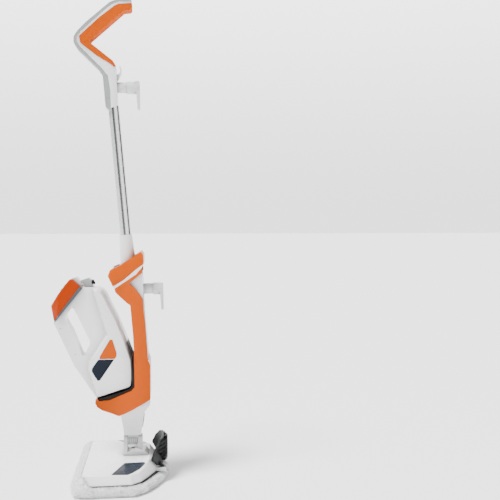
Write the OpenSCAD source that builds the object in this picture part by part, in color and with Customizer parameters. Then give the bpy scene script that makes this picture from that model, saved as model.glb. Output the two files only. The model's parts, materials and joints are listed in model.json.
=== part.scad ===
/* [Floor head] */
// Width of the floor head, side to side
head_w = 300; // [280:5:320]
// Depth of the floor head, front to rear
head_d = 205; // [190:5:220]
// Thickness of the mop pad
pad_t = 26; // [20:1:30]
// Height of the tilt axle above the floor
tilt_z = 33; // [32.5:0.5:34]
// Height of the swivel pin above the floor
swivel_z = 90; // [89:0.5:92]

/* [Cradle] */
// Outer width of the orange cradle
cradle_w = 108; // [104:1:116]
// Wall of the cradle's side arms
arm_t = 7; // [5:1:9]

/* [Pole and handle] */
// Total height of the mop
total_h = 1170; // [1140:5:1200]
// Outer diameter of the silver pole
pole_d = 26; // [22:1:30]
// Forward lean of the pole in degrees
pole_lean = 5; // [4:0.5:6]
// Width of the handle grip, side to side
grip_w = 34; // [28:1:40]

/* [Hand unit] */
// Width of the hand unit's casing
unit_w = 84; // [76:1:86]
// Wall of the hand unit's casing
unit_wall = 2.5; // [2:0.5:3.5]

/* [Hidden] */
$fn = 48;

ORANGE = "darkorange";
WHITE = "whitesmoke";
SILVER = "silver";
DARK = "dimgray";

// A side profile, drawn as (y, z) points and given a width along X
module side(x0, x1) {
    translate([x0, 0, 0]) rotate([90, 0, 90]) linear_extrude(x1 - x0) children();
}
// Rounds the corners of an outline, outer ones and inner ones
module soften(r) {
    offset(r, $fn = 24) offset(-2 * r, $fn = 24) offset(r, $fn = 24) children();
}
// A cylinder along X between two X values, centred on (y, z)
module bar_x(x0, x1, y, z, r) {
    translate([x0, y, z]) rotate([0, 90, 0]) cylinder(h = x1 - x0, r = r);
}
// A cylinder along Y between two Y values, centred on (x, z)
module bar_y(y0, y1, x, z, r) {
    translate([x, y1, z]) rotate([90, 0, 0]) cylinder(h = y1 - y0, r = r);
}
// A box from its lowest to its highest corner
module box(low, high) {
    translate(low) cube(high - low);
}
// The children together with their mirror across X
module both_sides() {
    children();
    mirror([1, 0, 0]) children();
}

// ---------- floor head ----------
head_front = -126;
head_rear = head_front + head_d;
plate_z = 15.5;
plate_t = 9;
gasket_t = 2.5;
cover_z = plate_z + plate_t + gasket_t;
cover_wall = 3;
drum_x = 26;
drum_y = 6;
drum_r = 30;
axle_r = 4;
hub_r = 8;
recline = 26;
// The yoke's curved skirt, which slides in the slot of the cover
visor_x = 24;
visor_front = 36.5;
visor_rear = 41;
// Plan of the head: straight front and sides, curving in to a narrow rear
module head_plan(grow) {
    offset(delta = grow) soften(10) polygon([
        [-head_w / 2 + 6, head_front], [head_w / 2 - 6, head_front],
        [head_w / 2, head_front + 22], [head_w / 2, 8], [head_w / 2 - 18, 32],
        [head_w * 0.32, 52], [head_w * 0.2, 69], [24, head_rear],
        [-24, head_rear], [-head_w * 0.2, 69], [-head_w * 0.32, 52],
        [-head_w / 2 + 18, 32], [-head_w / 2, 8], [-head_w / 2, head_front + 22]]);
}
module cover_plan(grow) {
    translate([0, -5]) scale([0.985, 0.9]) head_plan(grow);
}
rim_h = 19;
crown_h = 29;
module cover_solid(inset) {
    hull() {
        translate([0, 0, cover_z]) linear_extrude(3) cover_plan(-inset);
        translate([0, 0, cover_z + rim_h - inset]) linear_extrude(1) cover_plan(-7 - inset);
        translate([0, 2, cover_z + crown_h - inset]) linear_extrude(1) square([130, 78], center = true);
    }
}
module window_prism(grow) {
    translate([0, 0, 26]) linear_extrude(50) offset(delta = grow) soften(3) polygon([
        [76, -17], [74, 30], [82, 33], [108, 21], [128, 6], [138, -6], [136, -46]]);
}
module mop_pad() {
    color("gainsboro") difference() {
        linear_extrude(pad_t - 2) head_plan(0);
        translate([0, 0, plate_z - 1.5]) linear_extrude(pad_t) head_plan(-7);
    }
}
module hook_strips() {
    color("gray") both_sides() for (y = [-95, 5])
        box([25, y, plate_z - 1.5], [105, y + 25, plate_z]);
}
steam_holes = [for (i = [-2:2]) [i * 34, -40]];
screw_spots = [[-120, -105], [120, -105], [-96, 34], [96, 34]];
module base_plate() {
    color("lightgray") difference() {
        translate([0, 0, plate_z]) linear_extrude(plate_t) head_plan(-8);
        for (p = steam_holes) translate([p[0], p[1], plate_z - 1]) cylinder(h = plate_t + 2, r = 2);
        for (p = screw_spots) translate([p[0], p[1], plate_z - 1]) cylinder(h = plate_t + 2, r = 2.1);
        for (p = screw_spots) translate([p[0], p[1], plate_z - 1]) cylinder(h = 4, r = 4.2);
    }
}
module head_gasket() {
    color("black") translate([0, 0, plate_z + plate_t]) linear_extrude(gasket_t) difference() {
        head_plan(-5);
        head_plan(-12);
    }
}
module head_cover() {
    color(WHITE) {
        difference() {
            cover_solid(0);
            translate([0, 0, -0.01]) cover_solid(cover_wall);
            bar_x(-drum_x - 1, drum_x + 1, drum_y, tilt_z, drum_r + 1);
            bar_x(-visor_x - 1, visor_x + 1, drum_y, tilt_z, visor_front + 1);
            intersection() {
                bar_x(-visor_x - 1, visor_x + 1, drum_y, tilt_z, visor_rear + 1);
                box([-visor_x - 1, drum_y, 0], [visor_x + 1, 100, 90]);
            }
            both_sides() window_prism(0);
        }
        for (p = screw_spots) difference() {
            intersection() {
                translate([p[0], p[1], cover_z]) cylinder(h = 40, r = 5);
                translate([0, 0, -0.01]) cover_solid(cover_wall - 0.5);
            }
            translate([p[0], p[1], cover_z - 1]) cylinder(h = 7, r = 2);
        }
    }
}
module head_window() {
    color("darkslategray") intersection() {
        difference() {
            cover_solid(0.4);
            cover_solid(cover_wall - 0.4);
        }
        window_prism(-0.1);
    }
}
module right_window() { head_window(); }
module left_window() { mirror([1, 0, 0]) head_window(); }
module pivot_bracket() {
    color(WHITE) difference() {
        both_sides() side(drum_x + 0.7, drum_x + 7) hull() {
            translate([drum_y, tilt_z]) circle(r = hub_r);
            translate([drum_y - 16, plate_z + plate_t]) square([32, 2]);
        }
        bar_x(-60, 60, drum_y, tilt_z, axle_r);
    }
}
module tilt_axle() {
    color("silver") bar_x(-drum_x - 7, drum_x + 7, drum_y, tilt_z, axle_r);
}
module steam_manifold() {
    color("gray") difference() {
        union() {
            box([-80, -56, plate_z + plate_t], [80, -33, plate_z + plate_t + 12]);
            translate([0, -45, 36]) cylinder(h = 8, r = 4);
        }
        box([-78, -54, plate_z + plate_t + 2], [78, -35, plate_z + plate_t + 10]);
        translate([0, -45, 30]) cylinder(h = 20, r = 2);
    }
}
module head_screws() {
    color("silver") for (p = screw_spots) translate([p[0], p[1], plate_z + 0.5]) {
        cylinder(h = 2.5, r = 4);
        cylinder(h = 15, r = 2);
    }
}
// ---------- scrubber ----------
scrub_x = 50;
scrub_y = 78;
scrub_z = 31;
scrub_arc = 120;
scrub_face = 72.5;
scrub_low = 38;
module scrub_band(r0, r1) {
    translate([0, scrub_face - scrub_arc, 0]) rotate([0, 0, 90 - 45]) rotate_extrude(angle = 90, $fn = 96)
        translate([r0, 0]) square([r1 - r0, 200]);
}
module scrubber_brackets() {
    color(WHITE) difference() {
        both_sides() for (x = [scrub_x - 9, scrub_x + 4]) difference() {
            side(x, x + 5) hull() {
                translate([scrub_y, scrub_z]) circle(r = 4.4);
                translate([52, cover_z + 0.5]) square([2, 7]);
            }
            bar_x(x - 1, x + 6, scrub_y, scrub_z, 2.5);
        }
        cover_solid(-0.02);
    }
}
module scrubber_pins() {
    color("silver") both_sides() bar_x(scrub_x - 9, scrub_x + 9, scrub_y, scrub_z, 2.5);
}
module scrubber_plate() {
    color(DARK) {
        intersection() {
            scrub_band(scrub_arc, scrub_arc + 4.5);
            translate([0, 150, 0]) rotate([90, 0, 0]) linear_extrude(150) soften(6) polygon([
                [-54, scrub_low], [-77, 60], [-62, 84], [-40, 100], [40, 100], [62, 84], [77, 60],
                [54, scrub_low]]);
        }
        both_sides() difference() {
            side(scrub_x - 3.7, scrub_x + 3.7) hull() {
                translate([scrub_y, scrub_z]) circle(r = 4.4);
                translate([67, scrub_low + 1]) square([1.5, 9]);
            }
            bar_x(scrub_x - 9, scrub_x + 9, scrub_y, scrub_z, 2.56);
        }
    }
}
module scrubber_bristles() {
    color("black") for (row = [0:5], a = [-28:4:28])
        if (abs(a) < 20 + 3 * row && abs(a) < 46 - 4 * row)
            translate([0, scrub_face - scrub_arc, scrub_low + 10 + row * 9]) rotate([0, 0, a])
                rotate([-90, 0, 0]) translate([0, 0, scrub_arc + 4.5]) cylinder(h = 10, r = 1.8, $fn = 14);
}
// ---------- yoke and neck ----------
ear_front = [-22, -13];
ear_rear = [13, 24];
ear_r = 14;
module ear(y0, y1) {
    translate([0, y1, 0]) rotate([90, 0, 0]) linear_extrude(y1 - y0) hull() {
        translate([0, swivel_z]) circle(r = ear_r);
        translate([-visor_x, 60]) square([2 * visor_x, 1]);
    }
}
// Everything that would meet the plate anywhere between upright and reclined
module plate_sweep() {
    difference() {
        side(-60, 60) translate([drum_y, tilt_z]) polygon([[-80, -60], [-80, -hub_r], [0, -hub_r],
            [hub_r * sin(recline), -hub_r * cos(recline)],
            [80 * cos(recline) + hub_r * sin(recline), 80 * sin(recline) - hub_r * cos(recline)],
            [100, -60]]);
        bar_x(-60, 60, drum_y, tilt_z, hub_r);
    }
}
module yoke() {
    color(WHITE) difference() {
        union() {
            bar_x(-drum_x, drum_x, drum_y, tilt_z, drum_r);
            ear(ear_front[0], ear_front[1]);
            ear(ear_rear[0], ear_rear[1]);
            intersection() {
                bar_x(-visor_x, visor_x, drum_y, tilt_z, visor_front);
                side(-visor_x, visor_x) polygon([[-22, 50], [-22, 76], [drum_y, 76], [drum_y, 50]]);
            }
            intersection() {
                bar_x(-visor_x, visor_x, drum_y, tilt_z, visor_rear);
                side(-visor_x, visor_x) polygon([[drum_y, tilt_z], [drum_y, 76], [23, 76], [60, 46],
                    [60, tilt_z]]);
            }
        }
        plate_sweep();
        bar_x(-60, 60, drum_y, tilt_z, axle_r + 0.06);
        bar_y(-40, 40, 0, swivel_z, axle_r);
        translate([0, 0, 66]) cylinder(h = 20, r = 7);
    }
}
module swivel_pin() {
    color("silver") bar_y(ear_front[0], ear_rear[1], 0, swivel_z, axle_r);
}
module ribbed_sleeve() {
    color(WHITE) for (i = [0:4]) translate([0, -11.5 + i * 4.6 + 3.2, swivel_z]) rotate([90, 0, 0])
        difference() {
            cylinder(h = 3.2, r = 13);
            translate([0, 0, -1]) cylinder(h = 6, r = 10);
            translate([-10, 0, -1]) cube([20, 20, 6]);
        }
}
module neck_profile() {
    soften(3) polygon([[-21, 105], [-22, 121], [-26, 145], [-34, 185], [44, 200], [44, 185],
        [38, 175], [29, 163], [26, 140], [23, 120], [20, 105]]);
}
module neck_front_view() {
    soften(3) polygon([[-19, 105], [-20, 125], [-24, 150], [-32, 180], [-32, 210], [32, 210],
        [32, 180], [24, 150], [20, 125], [19, 105]]);
}
latch_z = 138;
module neck_tube() {
    color(WHITE) difference() {
        union() {
            difference() {
                intersection() {
                    side(-50, 50) neck_profile();
                    translate([0, 100, 0]) rotate([90, 0, 0]) linear_extrude(200) neck_front_view();
                }
                side(-60, 60) cradle_outline();
            }
            difference() {
                hull() {
                    bar_y(-12, 12, 0, swivel_z, 9.9);
                    box([-9, -12, 104], [9, 12, 106]);
                }
                side(-10, 10) polygon([[-20, 60], [-20, 60.1], [20, 60]]);
            }
        }
        bar_y(-40, 40, 0, swivel_z, 4.06);
        translate([0, 0, 98]) cylinder(h = 200, r = 6);
        box([-6.3, 18, latch_z - 18], [6.3, 50, latch_z + 18]);
    }
}
module neck_hose() {
    color("lightgray") translate([0, 0, 100]) difference() {
        cylinder(h = 66, r = 5.8);
        translate([0, 0, -1]) cylinder(h = 70, r = 3);
    }
}
module release_latch() {
    color("dimgray") side(-6, 6) soften(1.5) polygon([[20.5, latch_z - 17], [24.5, latch_z - 17],
        [28.5, latch_z + 4], [29.5, latch_z + 17], [20.5, latch_z + 17]]);
}
// ---------- cradle ----------
arm_out = cradle_w / 2;
arm_in = arm_out - arm_t;
floor_t = 4;
// Underside and back of the cradle, front lip first
cradle_back = [[-87, 196], [-82, 186], [-70, 178], [-48, 170], [-31, 163], [-19, 167], [2, 177],
    [31, 193], [45, 202], [45, 286], [40, 297]];
arm_front = [[4, 358], [1, 394], [-1, 419], [-2, 431], [-10, 437], [-25, 451], [-38, 464], [-39, 472]];
module cradle_outline() {
    polygon(concat(cradle_back, [[36, 345], [4, 358], [6, 321], [5, 228], [-86, 207]]));
}
module arm_profile() {
    soften(1.5) polygon(concat(cradle_back, [[36, 345], [34, 382], [30, 418], [28, 445],
        [19, 460], [7, 475], [-5, 485], [9, 495], [27, 510], [27, 522.5], [12, 506], [-12, 489.5]],
        [for (i = [len(arm_front) - 1:-1:0]) arm_front[i]],
        [[6, 321], [7, 232], [-1, 223], [-31, 211], [-53, 202], [-77, 199], [-86, 207]]));
}
module cradle_frame() {
    color(ORANGE) {
        both_sides() side(arm_in, arm_out) arm_profile();
        side(-arm_in - 1, arm_in + 1) difference() {
            cradle_outline();
            offset(delta = -floor_t) cradle_outline();
            polygon([[-100, 204], [-83, 202], [-78, 186], [-31, 169], [31, 198], [40.5, 204],
                [40.5, 300], [60, 300], [60, 400], [-100, 400]]);
        }
    }
}
module cup_liner() {
    color("black") {
        both_sides() side(arm_in - 2, arm_in - 0.2) polygon([[-80, 204], [-53, 211], [-31, 217],
            [-5, 227], [2, 236], [2, 272], [5, 300], [12, 300], [12, 220], [-31, 180], [-60, 190]]);
        side(-arm_in + 2.2, arm_in - 2.2) polygon([[-76, 189.5], [-31, 172.5], [30, 200], [30, 202.5],
            [-31, 174.5], [-75, 191.5]]);
    }
}
spine_back = [[39.5, 206], [39.5, 290], [39, 326], [36, 363], [33, 401], [31, 438], [28, 481], [25, 503]];
module spine_outline() {
    polygon(concat(spine_back, [for (i = [len(spine_back) - 1:-1:0]) spine_back[i] - [8, 0]]));
}
module spine() {
    color(WHITE) {
        side(-40, 40) spine_outline();
        both_sides() side(40, arm_in - 0.2) polygon([[-5, 485], [9, 495], [26, 509], [26, 503],
            [28, 481], [29, 445], [19, 460], [7, 475]]);
    }
}
// ---------- collar, pole and handle ----------
button_at = [0, -36, 522.5];
module place_collar_button() {
    translate(button_at) rotate([23, 0, 0]) children();
}
module collar_profile() {
    soften(2) polygon([[-43, 477], [-55, 502], [-50, 516], [-41, 521], [-29, 526], [0, 545],
        [24, 561], [30, 552], [30, 531], [12, 518], [-17, 493]]);
}
module collar_cavity() {
    side(-38, 38) polygon([[-90, 440], [-90, 507], [-35, 507], [-8, 500], [12, 494], [12, 440]]);
}
module collar() {
    color(ORANGE) difference() {
        side(-arm_out, arm_out) collar_profile();
        collar_cavity();
        place_collar_button() box([-12.3, -7.3, -7], [12.3, 7.3, 12]);
        along_pole() translate([0, 0, -72]) cylinder(h = 100, r = 13);
    }
}
module collar_stripe() {
    color(WHITE) difference() {
        side(-arm_out, arm_out) polygon([[-39, 472.2], [-43, 476.5], [-17, 492.5], [12, 517.5], [30, 530.5],
            [26, 522.2], [12, 506.2], [-12, 490]]);
        collar_cavity();
        side(-arm_in, arm_in) polygon([[-60, 460], [-60, 530], [14, 530], [14, 460]]);
    }
}
module collar_button() {
    color("silver") place_collar_button() box([-12, -7, -4], [12, 7, 3.5]);
}
module dock_seal() {
    color("black") translate([0, -1, 491]) rotate([20, 0, 0]) difference() {
        cylinder(h = 5, r = 8);
        translate([0, 0, -1]) cylinder(h = 8, r = 5);
    }
}
// Foot of the visible pole, at the top of the white sleeve
pole_foot = [0, -14, 597];
module along_pole() {
    translate(pole_foot) rotate([pole_lean, 0, 0]) children();
}
pole_r = pole_d / 2;
pole_len = 318;
module lower_sleeve() {
    color(WHITE) difference() {
        along_pole() difference() {
            translate([0, 0, -76]) cylinder(h = 79, r1 = 19.5, r2 = 15.5);
            translate([0, 0, -22]) cylinder(h = 40, r = pole_r);
        }
        difference() {
            side(-60, 60) collar_profile();
            along_pole() translate([0, 0, -72]) cylinder(h = 100, r = 13);
        }
        side(-60, 60) polygon([[-60, 400], [-60, 500], [14, 530], [60, 540], [60, 400]]);
    }
}
module pole_tube() {
    color(SILVER) along_pole() difference() {
        translate([0, 0, -22]) cylinder(h = pole_len + 22, r = pole_r);
        translate([0, 0, -30]) cylinder(h = pole_len + 60, r = pole_r - 1.5);
        both_sides() translate([pole_r, -3, -40]) cylinder(h = pole_len + 80, r = 1, $fn = 16);
    }
}
grip_tip = 5;
grip_x = grip_w / 2;
module grip_outline() {
    soften(7) polygon([[grip_tip, total_h], [-26, total_h], [-47, 1162], [-60, 1151], [-106, 1111],
        [-125, 1091], [-134, 1077], [-134, 1062], [-125, 1048], [-76, 1001], [-66, 986], [-59, 903],
        [-30, 915], [-34, 1009], [-41, 1021], [-99, 1066], [-14, 1142], [grip_tip, 1144]]);
}
module insert_outline() {
    soften(3) polygon([[grip_tip + 3, 1138], [-9, 1133], [-86, 1064], [-28, 1022], [-36, 1005],
        [-50, 1015.5], [-80, 1033], [-118, 1062], [-121, 1078], [-72, 1124.5], [-38, 1151], [-26, 1157],
        [grip_tip + 3, 1160]]);
}
module trim_outline() {
    soften(1.5) polygon([[grip_tip + 3, total_h + 4], [-40, total_h + 4], [-150, 1070], [-90, 990],
        [-90, 890], [-46, 890], [-48, 950], [-53, 985], [-67, 1002], [-85, 1020], [-118, 1052],
        [-126, 1065], [-126, 1076], [-118, 1088], [-55, 1146], [-42, 1156], [-25, 1162.5],
        [grip_tip + 3, 1163.5]]);
}
module handle_stem() {
    color(WHITE) difference() {
        side(-grip_x, grip_x) difference() {
            grip_outline();
            insert_outline();
            trim_outline();
        }
        along_pole() translate([0, 0, -30]) cylinder(h = pole_len + 30, r = pole_r);
    }
}
module grip_insert() {
    color(ORANGE) side(-grip_x - 1, grip_x + 1) intersection() {
        grip_outline();
        insert_outline();
    }
}
module grip_trim() {
    color(SILVER) difference() {
        side(-grip_x + 0.5, grip_x - 0.5) intersection() {
            grip_outline();
            trim_outline();
        }
        along_pole() translate([0, 0, -30]) cylinder(h = pole_len + 30, r = pole_r);
    }
}
module cord_clip() {
    color(WHITE) side(-5, 5) difference() {
        soften(0.8) polygon([[-38, 972], [-30, 976], [-22, 991], [-20.5, 1000], [-24, 1011],
            [-27, 1010], [-24.5, 1000], [-27, 993], [-38, 987]]);
        grip_outline();
    }
}
hook_r = 3;
upper_hook_at = [-9, 959.5];
lower_hook_at = [52, 467];
module hook_post(root_y, at) {
    color("gainsboro") difference() {
        bar_y(root_y, at[0], 0, at[1], 13);
        bar_y(root_y - 1, at[0] + 1, 0, at[1], hook_r);
    }
}
module hook_screw(root_y, at, reach) {
    color("silver") {
        bar_y(root_y, at[0] + reach, 0, at[1], hook_r);
        bar_y(at[0] + reach, at[0] + reach + 2, 0, at[1], 5);
    }
}
module hook(at, reach, drop) {
    color("gainsboro") difference() {
        union() {
            bar_y(at[0] + 0.3, at[0] + reach, 0, at[1], 15);
            side(-14, 14) translate([at[0] + reach, at[1]]) soften(2) polygon([[-8, 14], [4, 15],
                [5, -drop], [-1, -drop], [-4, -10]]);
        }
        bar_y(at[0] - 5, at[0] + reach + 20, 0, at[1], hook_r + 0.06);
        bar_y(at[0] + reach - 0.3, at[0] + reach + 20, 0, at[1], 6);
    }
}
module hook_posts() {
    difference() {
        hook_post(-34, upper_hook_at);
        side(-20, 20) grip_outline();
    }
    difference() {
        hook_post(27, lower_hook_at);
        side(-40, 40) spine_outline();
    }
}
module upper_hook() { hook(upper_hook_at, 27, 53); }
module lower_hook() { hook(lower_hook_at, 21, 52); }
module hook_screws() {
    hook_screw(-29, upper_hook_at, 27);
    hook_screw(31, lower_hook_at, 21);
}
// ---------- lift-off hand unit ----------
unit_x = unit_w / 2;
handle_x = 24;
flat_inset = 7;
split_z = 357;
unit_screw_spots = [[-171, 374], [-136, 310]];
module unit_outline() {
    soften(4) polygon([[-187, 388], [-138, 281], [-87, 204], [-78, 202], [-6, 224.5], [2, 230],
        [5, 247], [5, 272], [3, 296], [-13, 346], [-32, 395], [-63, 458], [-70, 468], [-80, 473],
        [-118, 474]]);
}
module loop_hole() {
    soften(4) polygon([[-148, 420], [-141, 426], [-127, 398], [-101, 342], [-101, 334], [-106, 325],
        [-117, 299], [-144, 367], [-159, 394], [-159, 404]]);
}
// The hollow part of the unit, without its loop handle
module body_outline() {
    soften(4) polygon([[-141, 432], [-101, 342], [-101, 334], [-118, 298], [-119, 262], [-87, 204],
        [-78, 202], [-6, 224.5], [2, 230], [5, 247], [5, 272], [3, 296], [-13, 346], [-32, 395],
        [-63, 458], [-70, 468], [-80, 473], [-120, 472]]);
}
// The raised side faces, bounded in front by a ridge beside the handle
module bulge_outline() {
    soften(3) polygon([[-96, 471], [-62, 357], [-104, 294], [-109, 275], [-87, 204], [-78, 202],
        [-6, 224.5], [2, 230], [5, 247], [5, 272], [3, 296], [-13, 346], [-32, 395], [-63, 458],
        [-70, 468], [-80, 473]]);
}
module above_split() { translate([-300, split_z]) square([400, 300]); }
module below_split() { translate([-300, split_z - 300]) square([400, 300.01]); }
// One swelling half of the body: full outline inside, smaller flat face outside
module swelling(inset) {
    hull() {
        side(0, handle_x - inset) intersection() {
            offset(delta = -inset) bulge_outline();
            children();
        }
        side(unit_x - 1 - inset, unit_x - inset) intersection() {
            offset(delta = -flat_inset - inset) bulge_outline();
            children();
        }
    }
}
module half_bulge(inset) {
    swelling(inset) above_split();
    swelling(inset) below_split();
}
module window_outline(grow) {
    offset(delta = grow) polygon([[-66, 299], [-42, 299], [-76, 249], [-82, 248], [-95, 270],
        [-95, 278], [-80, 299]]);
}
module flap_outline(grow) {
    offset(delta = grow) polygon([[-76, 301], [-76, 306], [-52, 347], [-46, 347], [-36, 314], [-37, 306],
        [-41, 301]]);
}
module cap_outline() {
    soften(2) polygon([[-187, 388], [-194, 428], [-180, 451], [-149, 492], [-143, 494.5], [-119, 474]]);
}
module stripe_outline() {
    polygon([[-188, 384], [-185.5, 393.5], [-123.5, 476], [-117, 472]]);
}
module unit_shell() {
    color(WHITE) difference() {
        union() {
            side(0, handle_x) unit_outline();
            half_bulge(0);
        }
        side(-1, handle_x + 1) loop_hole();
        half_bulge(unit_wall);
        side(0, handle_x - unit_wall) offset(delta = -unit_wall) body_outline();
        side(-1, 60) polygon([[-200, 370], [-188, 384], [-117, 472], [-119, 500], [-200, 500]]);
        side(unit_x - 3, unit_x + 5) window_outline(0.2);
        side(unit_x - 3.2, unit_x + 5) flap_outline(0.6);
        for (p = unit_screw_spots) bar_x(-1, 60, p[0], p[1], 1.5);
    }
}
module unit_shell_right() {
    intersection() {
        unit_shell();
        box([0.02, -300, 0], [200, 200, 700]);
    }
}
module unit_shell_left() {
    difference() {
        mirror([1, 0, 0]) unit_shell_right();
        for (p = unit_screw_spots) bar_x(-30, -handle_x + 2, p[0], p[1], 3.2);
    }
}
module unit_screws() {
    color("silver") for (p = unit_screw_spots) {
        bar_x(-handle_x + 2, handle_x - 4, p[0], p[1], 1.5);
        bar_x(-handle_x + 0.4, -handle_x + 2, p[0], p[1], 3);
    }
}
cap_x = 30;
cap_nose_x = 15;
cap_nose_y = -176;
face_at = [0, -166, 469];
face_tilt = 52.9;
module on_cap_face() {
    translate(face_at) rotate([face_tilt, 0, 0]) children();
}
button_spots = [[-10, -4], [0, 7], [10, -4]];
module unit_cap() {
    color(ORANGE) difference() {
        hull() {
            side(-cap_x, cap_x) intersection() {
                cap_outline();
                translate([cap_nose_y, 300]) square([200, 300]);
            }
            side(-cap_nose_x, cap_nose_x) cap_outline();
        }
        side(-60, 60) stripe_outline();
        side(-14, 14) polygon([[-150, 487], [-160, 500], [-100, 500], [-118, 470], [-136, 478]]);
        on_cap_face() translate([0, 0, -1.5]) cylinder(h = 20, r = 17.2);
        for (p = button_spots) on_cap_face() translate([p[0], p[1], -5]) cylinder(h = 10, r = 5);
    }
}
module cap_stripe() {
    color("slategray") hull() {
        side(-cap_x - 0.5, cap_x + 0.5) intersection() {
            stripe_outline();
            translate([cap_nose_y, 300]) square([200, 300]);
        }
        side(-cap_nose_x, cap_nose_x) stripe_outline();
    }
}
module cap_lid() {
    color(WHITE) side(-13.7, 13.7) soften(1.5) polygon([[-150, 488], [-150, 492], [-133, 498],
        [-119, 481], [-120.5, 478.5], [-123, 476.8], [-136, 478.5]]);
}
module control_panel() {
    color("gray") on_cap_face() translate([0, 0, -1.5]) difference() {
        cylinder(h = 2.5, r = 17);
        for (p = button_spots) translate([p[0], p[1], -1]) cylinder(h = 5, r = 4.8);
    }
}
module steam_button(i) {
    color("darkgray") on_cap_face() translate([button_spots[i][0], button_spots[i][1], -3])
        cylinder(h = 5.5, r = 4.6);
}
module steam_button_1() { steam_button(0); }
module steam_button_2() { steam_button(1); }
module steam_button_3() { steam_button(2); }
outlet_dir = 60;
module at_outlet() {
    translate([0, -103, 479]) rotate([-outlet_dir, 0, 0]) children();
}
module outlet_housing() {
    color("silver") difference() {
        side(-15, 15) soften(2) polygon([[-115, 474.2], [-117, 482], [-124, 489], [-104, 495],
            [-98, 489], [-96, 480], [-92, 474.2]]);
        at_outlet() translate([0, 0, -3]) cylinder(h = 30, r = 4.1);
    }
}
module steam_outlet() {
    color("black") at_outlet() difference() {
        union() {
            translate([0, 0, -2.9]) cylinder(h = 14.9, r = 4);
            translate([0, 0, 10]) cylinder(h = 2, r = 7);
        }
        translate([0, 0, -7]) cylinder(h = 30, r = 2.2);
    }
}
module outlet_seal() {
    color("dimgray") at_outlet() translate([0, 0, 12]) difference() {
        cylinder(h = 2, r = 5.5);
        translate([0, 0, -1]) cylinder(h = 4, r = 2.2);
    }
}
module water_tank() {
    color("lightblue") difference() {
        box([-34, -72, 240], [34, -20, 305]);
        box([-32, -70, 242], [32, -22, 303]);
    }
}
module pump() {
    color("gray") {
        bar_y(-62, -22, -14, 325, 12);
        bar_y(-22, -12, -14, 325, 4);
    }
}
module boiler() {
    color("silver") {
        translate([0, -68, 350]) rotate([14, 0, 0]) cylinder(h = 70, r = 16);
        translate([0, -68, 350]) rotate([14, 0, 0]) cylinder(h = 80, r = 3);
    }
}
module circuit_board() {
    color("green") box([16, -64, 310], [18, -24, 335]);
}
module tank_windows() {
    color("midnightblue") both_sides() side(unit_x - 3, unit_x - 0.4) window_outline(0.1);
}
module fill_flap() {
    color(ORANGE) {
        side(unit_x - 2.9, unit_x + 0.4) soften(1) flap_outline(0);
    }
}
module side_badge() {
    color(ORANGE) mirror([1, 0, 0]) side(unit_x - 3.2, unit_x + 0.4) flap_outline(0.5);
}
// Dark foot and back rim of the hand unit, under and behind the white casing
module unit_base() {
    color("black") side(-unit_x + 8, unit_x - 8) difference() {
        soften(3) polygon([[-80.5, 203], [-77, 199], [-4, 219], [6, 226], [9, 246], [9, 273], [5, 297],
            [-11, 340], [-16, 344], [-40, 340], [-60, 300], [-70, 220]]);
        unit_outline();
    }
}
module cord_gland() {
    color("dimgray") difference() {
        bar_x(-unit_x - 4, -unit_x, -38, 262, 6);
        bar_x(-unit_x - 5, -unit_x - 1, -38, 262, 3.5);
    }
}
// ---------- whole mop ----------
mop_pad();
hook_strips();
base_plate();
head_gasket();
head_cover();
left_window();
right_window();
pivot_bracket();
tilt_axle();
steam_manifold();
head_screws();
scrubber_brackets();
scrubber_pins();
scrubber_plate();
scrubber_bristles();
yoke();
swivel_pin();
ribbed_sleeve();
neck_tube();
neck_hose();
release_latch();
cradle_frame();
cup_liner();
spine();
collar();
collar_stripe();
collar_button();
dock_seal();
lower_sleeve();
pole_tube();
handle_stem();
grip_insert();
grip_trim();
cord_clip();
hook_posts();
upper_hook();
lower_hook();
hook_screws();
unit_shell_left();
unit_shell_right();
unit_cap();
cap_stripe();
cap_lid();
control_panel();
steam_button_1();
steam_button_2();
steam_button_3();
outlet_housing();
steam_outlet();
outlet_seal();
water_tank();
pump();
boiler();
circuit_board();
tank_windows();
fill_flap();
side_badge();
unit_screws();
unit_base();
cord_gland();
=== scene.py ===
"""Looks of the steam mop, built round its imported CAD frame."""
import json
import math
import random

import bpy
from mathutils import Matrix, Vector, noise


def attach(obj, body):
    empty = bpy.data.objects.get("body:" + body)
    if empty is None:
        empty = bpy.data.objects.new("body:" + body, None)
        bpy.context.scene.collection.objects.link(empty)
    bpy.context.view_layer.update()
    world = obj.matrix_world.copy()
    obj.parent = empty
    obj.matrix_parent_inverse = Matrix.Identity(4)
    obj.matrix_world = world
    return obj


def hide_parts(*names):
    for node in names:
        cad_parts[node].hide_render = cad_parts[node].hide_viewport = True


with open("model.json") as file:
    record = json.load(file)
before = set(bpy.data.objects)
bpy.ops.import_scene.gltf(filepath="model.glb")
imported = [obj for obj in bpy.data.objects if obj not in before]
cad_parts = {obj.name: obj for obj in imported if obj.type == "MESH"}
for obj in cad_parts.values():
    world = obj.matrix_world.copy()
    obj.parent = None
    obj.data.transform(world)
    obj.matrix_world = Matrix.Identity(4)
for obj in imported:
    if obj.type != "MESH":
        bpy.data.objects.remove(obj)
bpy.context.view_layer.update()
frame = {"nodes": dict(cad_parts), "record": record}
NODES = frame["nodes"]
SLOT_OF = {row["node"]: row["material_slot"] for row in frame["record"]["subparts"]}
MM = 0.001

# ---------------------------------------------------------------- camera, floor and light
CAMERA_DISTANCE = 1.85
CAMERA_AZIMUTH = math.radians(2.5)
CAMERA_HEIGHT = 0.64
LOOK_YAW = math.radians(6.589)
LOOK_PITCH = math.radians(2.427)
LENS_MM = 53.3


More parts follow.
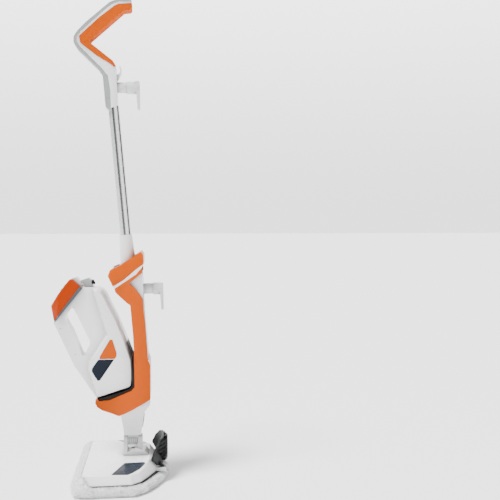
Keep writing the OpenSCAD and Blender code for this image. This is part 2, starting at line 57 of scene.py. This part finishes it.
def make_camera():
    data = bpy.data.cameras.new("camera")
    data.lens = LENS_MM
    data.sensor_width = 36.0
    camera = bpy.data.objects.new("camera", data)
    bpy.context.scene.collection.objects.link(camera)
    camera.location = (
        CAMERA_DISTANCE * math.cos(CAMERA_AZIMUTH),
        CAMERA_DISTANCE * math.sin(CAMERA_AZIMUTH),
        CAMERA_HEIGHT,
    )
    look = Vector((
        -math.cos(LOOK_YAW) * math.cos(LOOK_PITCH),
        math.sin(LOOK_YAW) * math.cos(LOOK_PITCH),
        -math.sin(LOOK_PITCH),
    ))
    camera.rotation_mode = "QUATERNION"
    camera.rotation_quaternion = look.to_track_quat("-Z", "Y")
    bpy.context.scene.camera = camera


def area_light(name, place, target, size, power):
    data = bpy.data.lights.new(name, "AREA")
    data.shape = "RECTANGLE"
    data.size, data.size_y = size
    data.energy = power
    light = bpy.data.objects.new(name, data)
    bpy.context.scene.collection.objects.link(light)
    light.location = place
    light.rotation_mode = "QUATERNION"
    light.rotation_quaternion = (Vector(target) - Vector(place)).to_track_quat("-Z", "Y")


HORIZON = 2.35
BACKDROP = 4.5
ROOM = 0.5
SUN = 8.0
SUN_ANGLE = math.radians(18)
SUN_DIRECTION = (-0.22, 0.38, -0.90)
FLOOR_REACH = 30.0


def make_studio():
    world = bpy.data.worlds.new("studio")
    bpy.context.scene.world = world
    world.use_nodes = True
    tree = world.node_tree
    background = tree.nodes["Background"]
    background.inputs["Color"].default_value = (1.0, 1.0, 1.0, 1.0)
    # A backdrop behind the mop that meets the floor and brightens upwards, and a dimmer room in front
    direction = tree.nodes.new("ShaderNodeTexCoord")
    parts = tree.nodes.new("ShaderNodeSeparateXYZ")
    tree.links.new(direction.outputs["Generated"], parts.inputs[0])

    def remap(socket, low, high, out_low, out_high):
        made = tree.nodes.new("ShaderNodeMapRange")
        made.interpolation_type = "SMOOTHSTEP"
        for key, value in (("From Min", low), ("From Max", high), ("To Min", out_low), ("To Max", out_high)):
            if isinstance(value, bpy.types.NodeSocket):
                tree.links.new(value, made.inputs[key])
            else:
                made.inputs[key].default_value = value
        tree.links.new(socket, made.inputs["Value"])
        return made.outputs["Result"]

    backdrop = remap(parts.outputs["Z"], 0.0, 0.45, HORIZON, BACKDROP)
    strength = remap(parts.outputs["X"], -0.88, -0.45, backdrop, ROOM)
    tree.links.new(strength, background.inputs["Strength"])
    mesh = bpy.data.meshes.new("floor")
    far = FLOOR_REACH
    mesh.from_pydata([(-far, -far, 0), (far, -far, 0), (far, far, 0), (-far, far, 0)], [], [(0, 1, 2, 3)])
    floor = bpy.data.objects.new("floor", mesh)
    bpy.context.scene.collection.objects.link(floor)
    material = bpy.data.materials.new("floor")
    material.use_nodes = True
    shader = material.node_tree.nodes["Principled BSDF"]
    shader.inputs["Base Color"].default_value = (0.95, 0.95, 0.95, 1.0)
    shader.inputs["Roughness"].default_value = 0.9
    mesh.materials.append(material)
    middle = (0.0, 0.0, 0.55)
    area_light("strip", (1.5, 1.5, 0.8), middle, (0.3, 1.4), 7)
    sun = bpy.data.lights.new("key", "SUN")
    sun.energy = SUN
    sun.angle = SUN_ANGLE
    key = bpy.data.objects.new("key", sun)
    bpy.context.scene.collection.objects.link(key)
    key.rotation_mode = "QUATERNION"
    key.rotation_quaternion = Vector(SUN_DIRECTION).to_track_quat("-Z", "Y")


# ---------------------------------------------------------------- materials
class Nodes:
    """A small helper that adds shader nodes to one material."""

    def __init__(self, name):
        self.material = bpy.data.materials.new(name)
        self.material.use_nodes = True
        self.tree = self.material.node_tree
        self.shader = self.tree.nodes["Principled BSDF"]
        self.place = self.add("ShaderNodeTexCoord").outputs["Object"]

    def add(self, kind, **values):
        made = self.tree.nodes.new(kind)
        for key, value in values.items():
            setattr(made, key, value)
        return made

    def link(self, a, b):
        self.tree.links.new(a, b)

    def noise(self, scale, detail=3.0, rough=0.5, distortion=0.0):
        made = self.add("ShaderNodeTexNoise")
        made.inputs["Scale"].default_value = scale
        made.inputs["Detail"].default_value = detail
        made.inputs["Roughness"].default_value = rough
        made.inputs["Distortion"].default_value = distortion
        self.link(self.place, made.inputs["Vector"])
        return made.outputs["Fac"]

    def ramp(self, value, low, high, out_low, out_high):
        made = self.add("ShaderNodeMapRange")
        self.link(value, made.inputs["Value"])
        for key, number in (("From Min", low), ("From Max", high), ("To Min", out_low), ("To Max", out_high)):
            made.inputs[key].default_value = number
        return made.outputs["Result"]

    def mix(self, factor, a, b):
        made = self.add("ShaderNodeMix", data_type="RGBA")
        self.link(factor, made.inputs["Factor"])
        for socket, value in ((made.inputs[6], a), (made.inputs[7], b)):
            if isinstance(value, bpy.types.NodeSocket):
                self.link(value, socket)
            else:
                socket.default_value = (*value, 1.0)
        return made.outputs[2]

    def bump(self, height, strength, distance, before=None):
        made = self.add("ShaderNodeBump")
        made.inputs["Strength"].default_value = strength
        made.inputs["Distance"].default_value = distance
        self.link(height, made.inputs["Height"])
        if before is not None:
            self.link(before, made.inputs["Normal"])
        self.link(made.outputs["Normal"], self.shader.inputs["Normal"])
        return made.outputs["Normal"]

    def painted_occlusion_shade(self, base, colour, reach, depth):
        """Paints shade into the colour of seams and hollows: darker where ambient occlusion finds them closed
        in.
        """
        open_sky = self.add("ShaderNodeAmbientOcclusion", samples=6)
        open_sky.inputs["Distance"].default_value = reach
        # painted shade: the stronger the occlusion, the darker the colour
        shade_share = self.ramp(open_sky.outputs["AO"], 0.35, 0.95, 1.0, 0.0)
        return self.mix(shade_share, base, shaded(colour, depth))

    def set(self, **values):
        for key, value in values.items():
            self.shader.inputs[key.replace("_", " ")].default_value = value


def shaded(colour, factor):
    return tuple(min(1.0, channel * factor) for channel in colour)


POLISH_SPREAD = 0.05


def moulded(name, colour, rough, grain=0.03, coat=0.0, crown=None, gloss=0.35, occlusion_shade=(0.014, 0.42)):
    """Injection-moulded plastic: colour drift, uneven polish, fine grain, scuffed edges and painted shade in
    seams and hollows.

    crown is (middle, across, rate): the shading of a gently crowned face, whose normal leans by rate radians
    per metre away from its middle line. The last argument gives the reach and depth of the painted shade that
    darkens the colour in seams and hollows."""
    n = Nodes(name)
    drift = n.ramp(n.noise(7.0, 2.0), 0.35, 0.65, 0.0, 1.0)
    base = n.mix(drift, shaded(colour, 0.965), shaded(colour, 1.0))
    edge = n.add("ShaderNodeNewGeometry").outputs["Pointiness"]
    scuffs = n.add("ShaderNodeMath", operation="MULTIPLY")
    n.link(n.ramp(edge, 0.53, 0.6, 0.0, 0.35), scuffs.inputs[0])
    n.link(n.ramp(n.noise(160.0, 4.0, 0.7), 0.5, 0.7, 0.0, 1.0), scuffs.inputs[1])
    worn = n.mix(scuffs.outputs[0], base, shaded(colour, 0.86))
    # base colour: random drift and edge wear, then painted shade in seams and hollows
    n.link(n.painted_occlusion_shade(worn, colour, *occlusion_shade), n.shader.inputs["Base Color"])
    polish = n.ramp(n.noise(38.0, 4.0, 0.6), 0.3, 0.7, rough - POLISH_SPREAD, rough + POLISH_SPREAD)
    n.link(polish, n.shader.inputs["Roughness"])
    curved = None
    if crown:
        middle, across, rate = crown
        offset = n.add("ShaderNodeVectorMath", operation="SUBTRACT")
        n.link(n.place, offset.inputs[0])
        offset.inputs[1].default_value = middle
        along = n.add("ShaderNodeVectorMath", operation="DOT_PRODUCT")
        n.link(offset.outputs[0], along.inputs[0])
        along.inputs[1].default_value = across
        square = n.add("ShaderNodeMath", operation="MULTIPLY")
        n.link(along.outputs["Value"], square.inputs[0])
        n.link(along.outputs["Value"], square.inputs[1])
        height = n.add("ShaderNodeMath", operation="MULTIPLY")
        n.link(square.outputs[0], height.inputs[0])
        height.inputs[1].default_value = -0.5 * rate
        curved = n.bump(height.outputs[0], 1.0, 1.0)
    n.bump(n.noise(1400.0, 2.0), grain, 0.0002, curved)
    n.set(Coat_Weight=coat, Coat_Roughness=0.1, Specular_IOR_Level=gloss)
    return n.material


def brushed(name, colour, rough, stretch=(60.0, 60.0, 2.0)):
    """Drawn or brushed metal with fine streaks along Z."""
    n = Nodes(name)
    mapping = n.add("ShaderNodeMapping")
    mapping.inputs["Scale"].default_value = stretch
    n.link(n.place, mapping.inputs["Vector"])
    streak = n.add("ShaderNodeTexNoise")
    streak.inputs["Scale"].default_value = 12.0
    streak.inputs["Detail"].default_value = 4.0
    n.link(mapping.outputs["Vector"], streak.inputs["Vector"])
    n.link(n.mix(streak.outputs["Fac"], shaded(colour, 0.88), colour), n.shader.inputs["Base Color"])
    n.link(n.ramp(streak.outputs["Fac"], 0.3, 0.7, rough - 0.06, rough + 0.08), n.shader.inputs["Roughness"])
    n.bump(streak.outputs["Fac"], 0.06, 0.0003)
    n.set(Metallic=1.0)
    return n.material


def reflection_banded_tube(name, foot, lean, radius):
    """A satin steel tube whose base colour carries painted reflection bands across its width: a grey side,
    two dark painted reflection lines and a white painted highlight between them.
    """
    n = Nodes(name)
    parts = n.add("ShaderNodeSeparateXYZ")
    n.link(n.place, parts.inputs[0])
    rise = n.add("ShaderNodeMath", operation="MULTIPLY_ADD")
    n.link(parts.outputs["Z"], rise.inputs[0])
    rise.inputs[1].default_value = math.tan(lean)
    rise.inputs[2].default_value = -foot[0] - foot[1] * math.tan(lean)
    across = n.add("ShaderNodeMath", operation="ADD")
    n.link(parts.outputs["Y"], across.inputs[0])
    n.link(rise.outputs[0], across.inputs[1])
    share = n.ramp(across.outputs[0], -radius, radius, 0.0, 1.0)
    reflection_bands = n.add("ShaderNodeValToRGB")
    n.link(share, reflection_bands.inputs[0])
    # painted reflection across the tube: grey side, dark painted reflection line, white painted highlight,
    # second dark painted reflection line, lighter rim
    reflection_stops = ((0.0, 0.52), (0.30, 0.60), (0.38, 0.06), (0.52, 0.09), (0.60, 0.86), (0.80, 0.88), (0.86, 0.05),
             (0.93, 0.07), (0.98, 0.8))
    ramp = reflection_bands.color_ramp
    while len(ramp.elements) < len(reflection_stops):
        ramp.elements.new(0.5)
    for element, (place, value) in zip(ramp.elements, reflection_stops):
        element.position = place
        element.color = (value, value * 1.01, value * 1.03, 1.0)
    streak = n.noise(240.0, 3.0)
    n.link(n.mix(n.ramp(streak, 0.3, 0.7, 0.0, 0.12), reflection_bands.outputs["Color"], (0.3, 0.3, 0.31)),
           n.shader.inputs["Base Color"])
    n.link(n.ramp(streak, 0.3, 0.7, 0.24, 0.36), n.shader.inputs["Roughness"])
    n.bump(streak, 0.03, 0.0002)
    n.set(Metallic=0.35, Specular_IOR_Level=0.4)
    return n.material


def fibre(name, colour, scale):
    """Fluffy microfibre: soft colour clumps, sheen, a fine nap and painted shade deep in the pile."""
    n = Nodes(name)
    clumps = n.noise(scale, 5.0, 0.65, 0.6)
    speckled = n.mix(n.ramp(clumps, 0.38, 0.46, 0.0, 1.0), shaded(colour, 0.62), colour)
    # painted shade: the colour is darkened where the pile closes in
    n.link(n.painted_occlusion_shade(speckled, colour, 0.0024, 0.72), n.shader.inputs["Base Color"])
    n.link(n.ramp(clumps, 0.3, 0.7, 0.85, 0.98), n.shader.inputs["Roughness"])
    n.bump(n.noise(scale * 4.0, 4.0, 0.7), 0.35, 0.0012)
    n.set(Sheen_Weight=0.7, Sheen_Roughness=0.5, Specular_IOR_Level=0.15)
    return n.material


def tinted(name, colour):
    """Dark see-through plastic, nearly opaque, with faint surface swirls."""
    n = Nodes(name)
    swirl = n.noise(22.0, 3.0, 0.6, 0.8)
    base = n.mix(n.ramp(swirl, 0.3, 0.75, 0.0, 1.0), colour, shaded(colour, 1.7))
    n.link(base, n.shader.inputs["Base Color"])
    n.link(n.ramp(n.noise(90.0, 3.0), 0.3, 0.7, 0.12, 0.2), n.shader.inputs["Roughness"])
    n.set(Specular_IOR_Level=0.12)
    return n.material


def nylon(name, colour):
    """Stiff dark bristle nylon with a slight drift in colour and polish."""
    n = Nodes(name)
    base = n.mix(n.noise(300.0, 3.0), shaded(colour, 0.6), shaded(colour, 1.6))
    n.link(base, n.shader.inputs["Base Color"])
    n.link(n.ramp(n.noise(120.0), 0.3, 0.7, 0.35, 0.55), n.shader.inputs["Roughness"])
    n.bump(n.noise(700.0), 0.1, 0.0003)
    return n.material


ORANGE = (0.50, 0.072, 0.0001)
WHITE = (0.84, 0.845, 0.85)


def make_materials():
    return {
        "white_shell": moulded("white_shell", WHITE, 0.26, coat=0.2),
        "white_matte": moulded("white_matte", (0.62, 0.63, 0.64), 0.4, grain=0.06),
        "orange_shell": moulded("orange_shell", ORANGE, 0.24, gloss=0.07),
        "orange_grip": moulded("orange_grip", ORANGE, 0.45, grain=0.12, gloss=0.12),
        "silver_trim": moulded("silver_trim", (0.30, 0.31, 0.315), 0.3, gloss=0.3),
        "grey_trim": moulded("grey_trim", (0.06, 0.075, 0.085), 0.35, grain=0.08, gloss=0.15),
        "button_grey": moulded("button_grey", (0.3, 0.31, 0.32), 0.35),
        # the pole's base colour holds painted reflection bands and a painted highlight
        "pole_metal": reflection_banded_tube("pole_metal", (-0.014, 0.597), math.radians(5), 0.013),
        "pad_fibre": fibre("pad_fibre", (0.94, 0.945, 0.95), 190.0),
        "hook_fabric": fibre("hook_fabric", (0.16, 0.16, 0.17), 400.0),
        "dark_window": tinted("dark_window", (0.003, 0.006, 0.012)),
        "dark_plastic": moulded("dark_plastic", (0.015, 0.0155, 0.0165), 0.5, grain=0.25, gloss=0.15),
        "bristle": nylon("bristle", (0.006, 0.006, 0.007)),
        "seal_rubber": moulded("seal_rubber", (0.012, 0.012, 0.013), 0.6, grain=0.3, gloss=0.15),
        "steel": brushed("steel", (0.45, 0.45, 0.47), 0.3, stretch=(8.0, 8.0, 8.0)),
        "inner_plastic": moulded("inner_plastic", (0.3, 0.34, 0.32), 0.4),
    }


# ---------------------------------------------------------------- CAD nodes keep their shape
# Width in metres of the rounding on each CAD node's moulded edges
EDGE_RADIUS = {
    "head_cover": 4.0, "left_window": 0.6, "right_window": 0.6, "pivot_bracket": 1.2,
    "scrubber_brackets": 0.6, "scrubber_plate": 1.0, "yoke": 1.5, "ribbed_sleeve": 0.5,
    "neck_tube": 4.0, "release_latch": 0.8, "cradle_frame": 2.2, "spine": 2.5, "collar": 1.4,
    "collar_stripe": 0.4, "collar_button": 1.2, "lower_sleeve": 0.6, "handle_stem": 2.5,
    "grip_insert": 1.8, "grip_trim": 2.0, "cord_clip": 0.8, "hook_posts": 0.6, "unit_base": 1.5,
    "cup_liner": 0.8, "upper_hook": 1.4, "lower_hook": 1.4, "unit_shell_left": 2.0, "unit_shell_right": 2.0,
    "unit_cap": 3.0, "cap_stripe": 0.8, "cap_lid": 1.2,
    "control_panel": 0.4, "outlet_housing": 1.2, "steam_outlet": 0.4, "fill_flap": 0.7,
    "side_badge": 0.7, "tank_windows": 0.5,
}


# Nodes with broad flat sides that are shaded as gently crowned ones
def crowned_materials():
    # the casing's painted shade reaches further, darkening the colour in its recessed panels
    unit = moulded("casing_white", WHITE, 0.24, coat=0.25, crown=((0, -0.055, 0.33), (0, 0.954, 0.300), 6.5),
                   occlusion_shade=(0.03, 0.45))
    arm = moulded("arm_orange", ORANGE, 0.24, gloss=0.07,
                  crown=((0, 0.021, 0.3), (0, 1, 0), 14.0))
    collar = moulded("collar_orange", ORANGE, 0.24, gloss=0.07,
                     crown=((0, -0.012, 0.512), (0, -0.5, 0.866), 12.0))
    cap = moulded("cap_orange", (0.33, 0.030, 0.0001), 0.22, gloss=0.06,
                  crown=((0, -0.158, 0.437), (0, -0.8, 0.6), 9.0))
    grip = moulded("grip_orange", ORANGE, 0.6, grain=0.02, gloss=0.02)
    stem = moulded("stem_white", WHITE, 0.26, coat=0.2,
                   crown=((0, -0.045, 0.95), (0, 1, 0), 16.0))
    pane = tinted("head_pane", (0.009, 0.014, 0.022))
    spine = moulded("spine_white", WHITE, 0.26, coat=0.2,
                    crown=((0, 0, 0.3), (1, 0, 0), 7.0))
    return {
        "unit_shell_left": unit, "unit_shell_right": unit, "cradle_frame": arm, "collar": collar,
        "unit_cap": cap, "grip_insert": grip, "handle_stem": stem, "spine": spine,
        "left_window": pane, "right_window": pane,
    }


def round_edges(piece, radius):
    bevel = piece.modifiers.new("edges", "BEVEL")
    bevel.width = radius * MM
    bevel.segments = 3
    bevel.limit_method = "ANGLE"
    bevel.angle_limit = math.radians(28)
    bevel.use_clamp_overlap = True
    bevel.harden_normals = False


def dress_nodes(materials):
    special = crowned_materials()
    for name, piece in NODES.items():
        piece.data.materials.clear()
        piece.data.materials.append(special.get(name, materials[SLOT_OF[name]]))
        if name in EDGE_RADIUS:
            round_edges(piece, EDGE_RADIUS[name])


# ---------------------------------------------------------------- shaping helpers
def new_piece(name, verts, faces, body, slot, materials):
    mesh = bpy.data.meshes.new(name)
    mesh.from_pydata([tuple(v) for v in verts], [], faces)
    mesh.validate()
    mesh.update()
    mesh.polygons.foreach_set("use_smooth", [True] * len(mesh.polygons))
    piece = bpy.data.objects.new(name, mesh)
    bpy.context.scene.collection.objects.link(piece)
    mesh.materials.append(materials[slot])
    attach(piece, body)
    return piece


def smoothstep(low, high, value):
    t = min(1.0, max(0.0, (value - low) / (high - low)))
    return t * t * (3.0 - 2.0 * t)


def plan_hull(node, low, high):
    """Convex outline, in mm, of a node's points between two heights."""
    points = sorted({
        (round(v.co.x / MM, 3), round(v.co.y / MM, 3))
        for v in NODES[node].data.vertices
        if low <= v.co.z / MM <= high
    })

    def half(run):
        chain = []
        for q in run:
            while len(chain) > 1:
                (ax, ay), (bx, by) = chain[-2], chain[-1]
                if (bx - ax) * (q[1] - ay) - (by - ay) * (q[0] - ax) > 1e-9:
                    break
                chain.pop()
            chain.append(q)
        return chain[:-1]

    return half(points) + half(points[::-1])


def resample(loop, count):
    """Evenly spaced points on a closed loop, each with its outward direction."""
    size = len(loop)
    lengths = [math.dist(loop[i], loop[(i + 1) % size]) for i in range(size)]
    step = sum(lengths) / count
    out, at, index = [], 0.0, 0
    for k in range(count):
        want = k * step
        while at + lengths[index] < want:
            at += lengths[index]
            index += 1
        t = (want - at) / lengths[index]
        a, b = loop[index], loop[(index + 1) % size]
        out.append((a[0] + (b[0] - a[0]) * t, a[1] + (b[1] - a[1]) * t))
    result = []
    for k, point in enumerate(out):
        before, after = out[k - 4], out[(k + 4) % count]
        dx, dy = after[0] - before[0], after[1] - before[1]
        size = math.hypot(dx, dy)
        result.append((point, (dy / size, -dx / size)))
    return result


# ---------------------------------------------------------------- mop pad
# Cross-section of the pad's rolled rim as (outward, up) in mm: along the sides, and round the front
RIM_SIDE = [(-30, 0.5), (-14, 0.3), (-5, 0.4), (1, 2.5), (4.5, 7), (5.5, 12), (4.8, 16.5), (2.5, 20),
            (-1, 22), (-4, 22.3), (-6, 21), (-7.6, 18), (-8, 15), (-30, 14)]
RIM_FRONT = [(-30, 0.5), (-14, 0.3), (-5, 0.4), (2, 3), (6, 9), (8, 17), (8, 25), (6.5, 32),
             (3, 38), (-3, 43), (-9, 46.5), (-13, 46.5), (-12.5, 42), (-30, 14)]


def spline(points, count):
    """Points evenly spaced in parameter on a Catmull-Rom curve through the given ones."""
    out = []
    last = len(points) - 1
    for k in range(count):
        u = k / (count - 1) * last
        i = min(int(u), last - 1)
        t = u - i
        p = [points[max(0, min(last, i + j))] for j in (-1, 0, 1, 2)]
        out.append(tuple(
            0.5 * (2 * p[1][c] + (p[2][c] - p[0][c]) * t
                   + (2 * p[0][c] - 5 * p[1][c] + 4 * p[2][c] - p[3][c]) * t * t
                   + (3 * p[1][c] - p[0][c] - 3 * p[2][c] + p[3][c]) * t * t * t)
            for c in (0, 1)))
    return out


def tuft_height(place, cell):
    """0 in the gaps between tufts and 1 on their crowns."""
    near = noise.voronoi(place / cell)[0]
    return max(0.0, 1.0 - near[0] / 0.75)


PAD_AROUND = 420
PAD_ACROSS = 52
TUFT_CELL = 6.5
PILE_STRANDS = 6200


def make_pad(materials):
    around, across = PAD_AROUND, PAD_ACROSS
    outline = resample(plan_hull("mop_pad", -1.0, 1.0), around)
    side, front = spline(RIM_SIDE, across), spline(RIM_FRONT, across)
    verts, pile = [], []
    for (x, y), (nx, ny) in outline:
        forward = smoothstep(-84.0, -114.0, y)
        wave = 1.0 + 0.10 * noise.noise(Vector((x, y, 0)) / 38.0)
        for k in range(across):
            out = side[k][0] + (front[k][0] - side[k][0]) * forward
            up = side[k][1] + (front[k][1] - side[k][1]) * forward
            out = out * (wave if out > 0 else 1.0)
            verts.append(Vector((x + nx * out, y + ny * out, up)))
    faces = []
    for i in range(around):
        j = (i + 1) % around
        for k in range(across - 1):
            faces.append((i * across + k, j * across + k, j * across + k + 1, i * across + k + 1))
    faces.append(tuple(i * across for i in range(around - 1, -1, -1)))
    faces.append(tuple(i * across + across - 1 for i in range(around)))
    mesh = bpy.data.meshes.new("pad_shape")
    mesh.from_pydata(verts, [], faces)
    normals = [Vector(v.normal) for v in mesh.vertices]
    bpy.data.meshes.remove(mesh)
    shaped = []
    for index, (v, normal) in enumerate(zip(verts, normals)):
        k = index % across
        show = smoothstep(0.13, 0.24, k / across) * (1.0 - smoothstep(0.74, 0.86, k / across))
        rise = 2.6 * tuft_height(v, TUFT_CELL) + 1.1 * noise.noise(v / 2.6) - 1.2
        moved = v + normal * rise * show
        moved.z = max(moved.z, 0.15)
        shaped.append(moved * MM)
        if show > 0.5:
            pile.append((moved, normal))
    pad = new_piece("microfibre_pad", shaped, faces, "head", "pad_fibre", materials)
    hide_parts("mop_pad")
    return pile


def make_pile(roots, materials):
    """Short curled strands standing out of the pad's rim."""
    rng = random.Random(41)
    verts, faces = [], []
    sides = 4
    for root, normal in rng.sample(roots, min(len(roots), PILE_STRANDS)):
        aim = Vector(normal) + Vector([rng.uniform(-0.75, 0.75) for _ in range(3)])
        aim.normalize()
        length = rng.uniform(3.2, 6.4)
        girth = rng.uniform(0.55, 0.95)
        across = aim.orthogonal().normalized()
        other = aim.cross(across)
        turn = rng.uniform(0, math.tau)
        curl = across * math.cos(turn) + other * math.sin(turn)
        first = len(verts)
        for ring, wide in enumerate((1.0, 0.95, 0.7)):
            t = ring / 3
            centre = root - aim * 0.6 + aim * length * t + curl * length * 0.45 * t * t
            centre = centre - Vector((0, 0, 1.2 * t * t))
            for side in range(sides):
                a = math.tau * side / sides
                point = centre + (across * math.cos(a) + other * math.sin(a)) * girth * wide
                point.z = max(point.z, 0.1)
                verts.append(point * MM)
        tip = root + aim * length + curl * length * 0.45 - Vector((0, 0, 1.2))
        tip.z = max(tip.z, 0.1)
        verts.append(tip * MM)
        for ring in range(2):
            for side in range(sides):
                a = first + ring * sides + side
                b = first + ring * sides + (side + 1) % sides
                faces.append((a, b, b + sides, a + sides))
        for side in range(sides):
            last = first + 2 * sides
            faces.append((last + side, last + (side + 1) % sides, last + sides))
    new_piece("microfibre_pile", verts, faces, "head", "pad_fibre", materials)


# ---------------------------------------------------------------- scrubber bristles
def make_bristles(materials):
    rng = random.Random(7)
    arc, face, low = 124.5, -47.5, 38.0
    verts, faces = [], []
    sides = 5
    for row in range(6):
        for angle in range(-28, 29, 4):
            if abs(angle) >= 20 + 3 * row or abs(angle) >= 46 - 4 * row:
                continue
            a = math.radians(angle)
            out = Vector((-math.sin(a), math.cos(a), 0))
            root = Vector((0, face, low + 10 + row * 9)) + out * arc
            side_way = Vector((math.cos(a), math.sin(a), 0))
            for _ in range(16):
                spin = rng.uniform(0, math.tau)
                reach = 1.55 * math.sqrt(rng.random())
                lean = side_way * math.cos(spin) + Vector((0, 0, 1)) * math.sin(spin)
                foot = root + lean * reach
                length = rng.uniform(8.8, 10.2)
                first = len(verts)
                for ring in range(3):
                    t = ring / 2
                    centre = foot + out * length * t + lean * reach * 0.8 * t * t
                    for k in range(sides):
                        b = math.tau * k / sides
                        rim = (side_way * math.cos(b) + Vector((0, 0, 1)) * math.sin(b)) * 0.33
                        verts.append((centre + rim) * MM)
                for ring in range(2):
                    for k in range(sides):
                        c = first + ring * sides + k
                        d = first + ring * sides + (k + 1) % sides
                        faces.append((c, d, d + sides, c + sides))
                faces.append(tuple(first + 2 * sides + k for k in range(sides)))
                faces.append(tuple(first + k for k in range(sides - 1, -1, -1)))
    bristles = new_piece("bristle_tufts", verts, faces, "scrubber", "bristle", materials)
    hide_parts("scrubber_bristles")


make_camera()
make_studio()
MATERIALS = make_materials()
dress_nodes(MATERIALS)
make_pile(make_pad(MATERIALS), MATERIALS)
make_bristles(MATERIALS)
